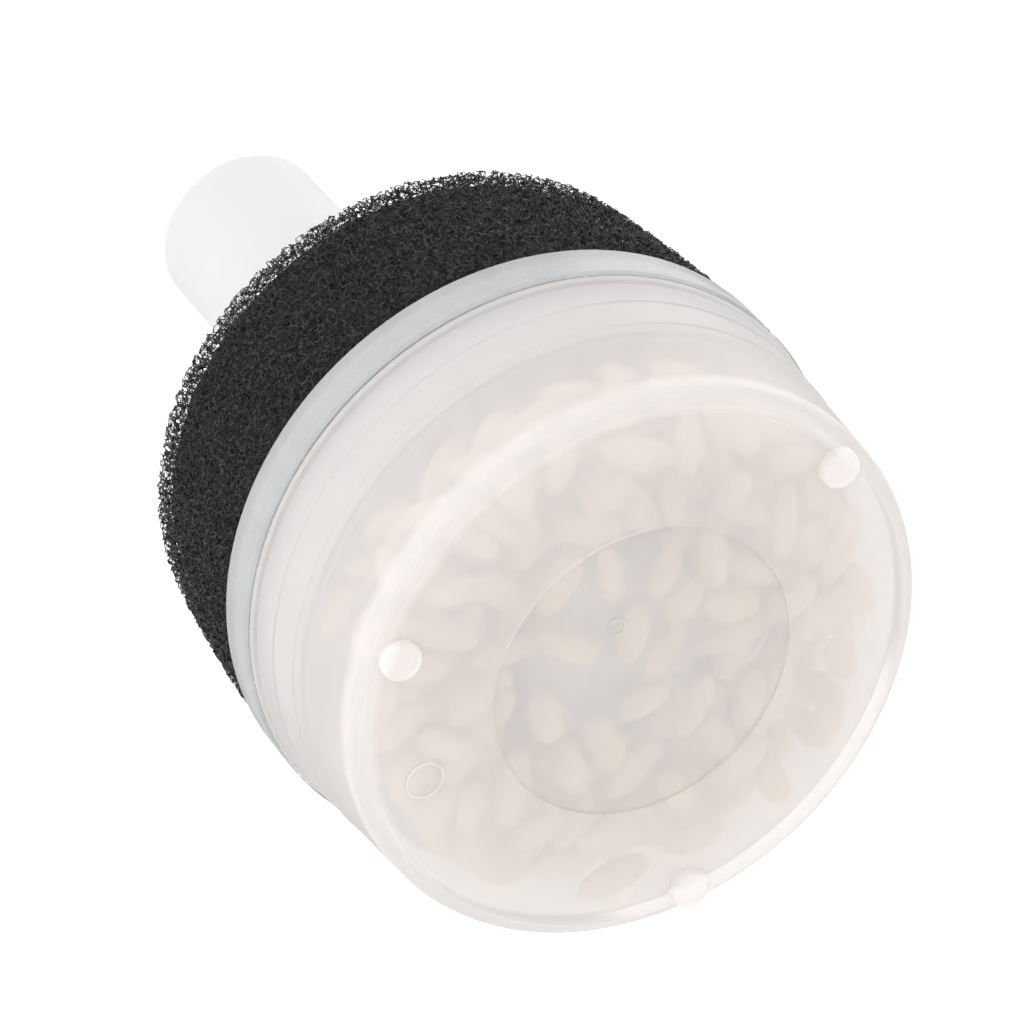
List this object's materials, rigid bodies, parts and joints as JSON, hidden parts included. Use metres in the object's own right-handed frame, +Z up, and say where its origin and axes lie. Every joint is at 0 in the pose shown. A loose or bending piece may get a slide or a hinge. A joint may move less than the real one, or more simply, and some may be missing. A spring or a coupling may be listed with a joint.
{
  "type": "sponge filter",
  "caption": "Small air-driven aquarium filter: a foam ring and central lift tube on a lidded, frosted cup of loose bio granules, standing on round feet.",
  "frame": {"origin": "on the axis, in the plane that the three feet stand on", "axes": "+Z up the lift tube; a foot lies 114 degrees from +X towards +Y, and the other two at 120 degree steps"},
  "size_m": [0.06, 0.06, 0.0994],
  "materials": {
    "frosted_cup": "frosted, translucent",
    "granule": "matt ceramic",
    "clear_lid": "clear, glossy",
    "frosted_tube": "frosted, translucent",
    "dark_core": "satin",
    "foam": "open-cell foam",
    "air_pipe": "clear, glossy",
    "air_stone": "porous, matt"
  },
  "bodies": {
    "cup": {"media_cup": "frosted_cup", "media_lower": "granule", "media_middle": "granule", "media_upper": "granule"},
    "lid": {"cup_lid": "clear_lid"},
    "riser": {"riser_tube": "frosted_tube", "foot_strainer": "frosted_tube"},
    "core": {"sponge_core": "dark_core"},
    "cap": {"core_cap": "dark_core"},
    "sponge_ring": {"sponge": "foam"},
    "outlet_tube": {"lift_tube": "frosted_tube"},
    "holder": {"air_holder": "frosted_tube"},
    "air_line": {"air_pipe": "air_pipe", "stone_nipple": "air_pipe", "air_stone": "air_stone"}
  },
  "joints": [
    {"name": "lid_lift", "type": "slide", "parent": "cup", "child": "lid", "axis": [0, 0, 1], "range_m": [0, 0.03]},
    {"name": "riser_turn", "type": "hinge", "parent": "lid", "child": "riser", "pos_m": [0, 0, 0.03], "axis": [0, 0, 1], "continuous": true},
    {"name": "tube_slide", "type": "slide", "parent": "riser", "child": "outlet_tube", "axis": [0, 0, 1], "range_m": [0, 0.03]},
    {"name": "holder_lift", "type": "slide", "parent": "outlet_tube", "child": "holder", "axis": [0, 0, 1], "range_m": [0, 0.09]},
    {"name": "pipe_slide", "type": "slide", "parent": "holder", "child": "air_line", "axis": [0, 0, 1], "range_m": [0, 0.06]},
    {"name": "core_lift", "type": "slide", "parent": "lid", "child": "core", "axis": [0, 0, 1], "range_m": [0, 0.08]},
    {"name": "cap_lift", "type": "slide", "parent": "core", "child": "cap", "axis": [0, 0, 1], "range_m": [0, 0.056]},
    {"name": "sponge_lift", "type": "slide", "parent": "core", "child": "sponge_ring", "axis": [0, 0, 1], "range_m": [0, 0.078]}
  ]
}
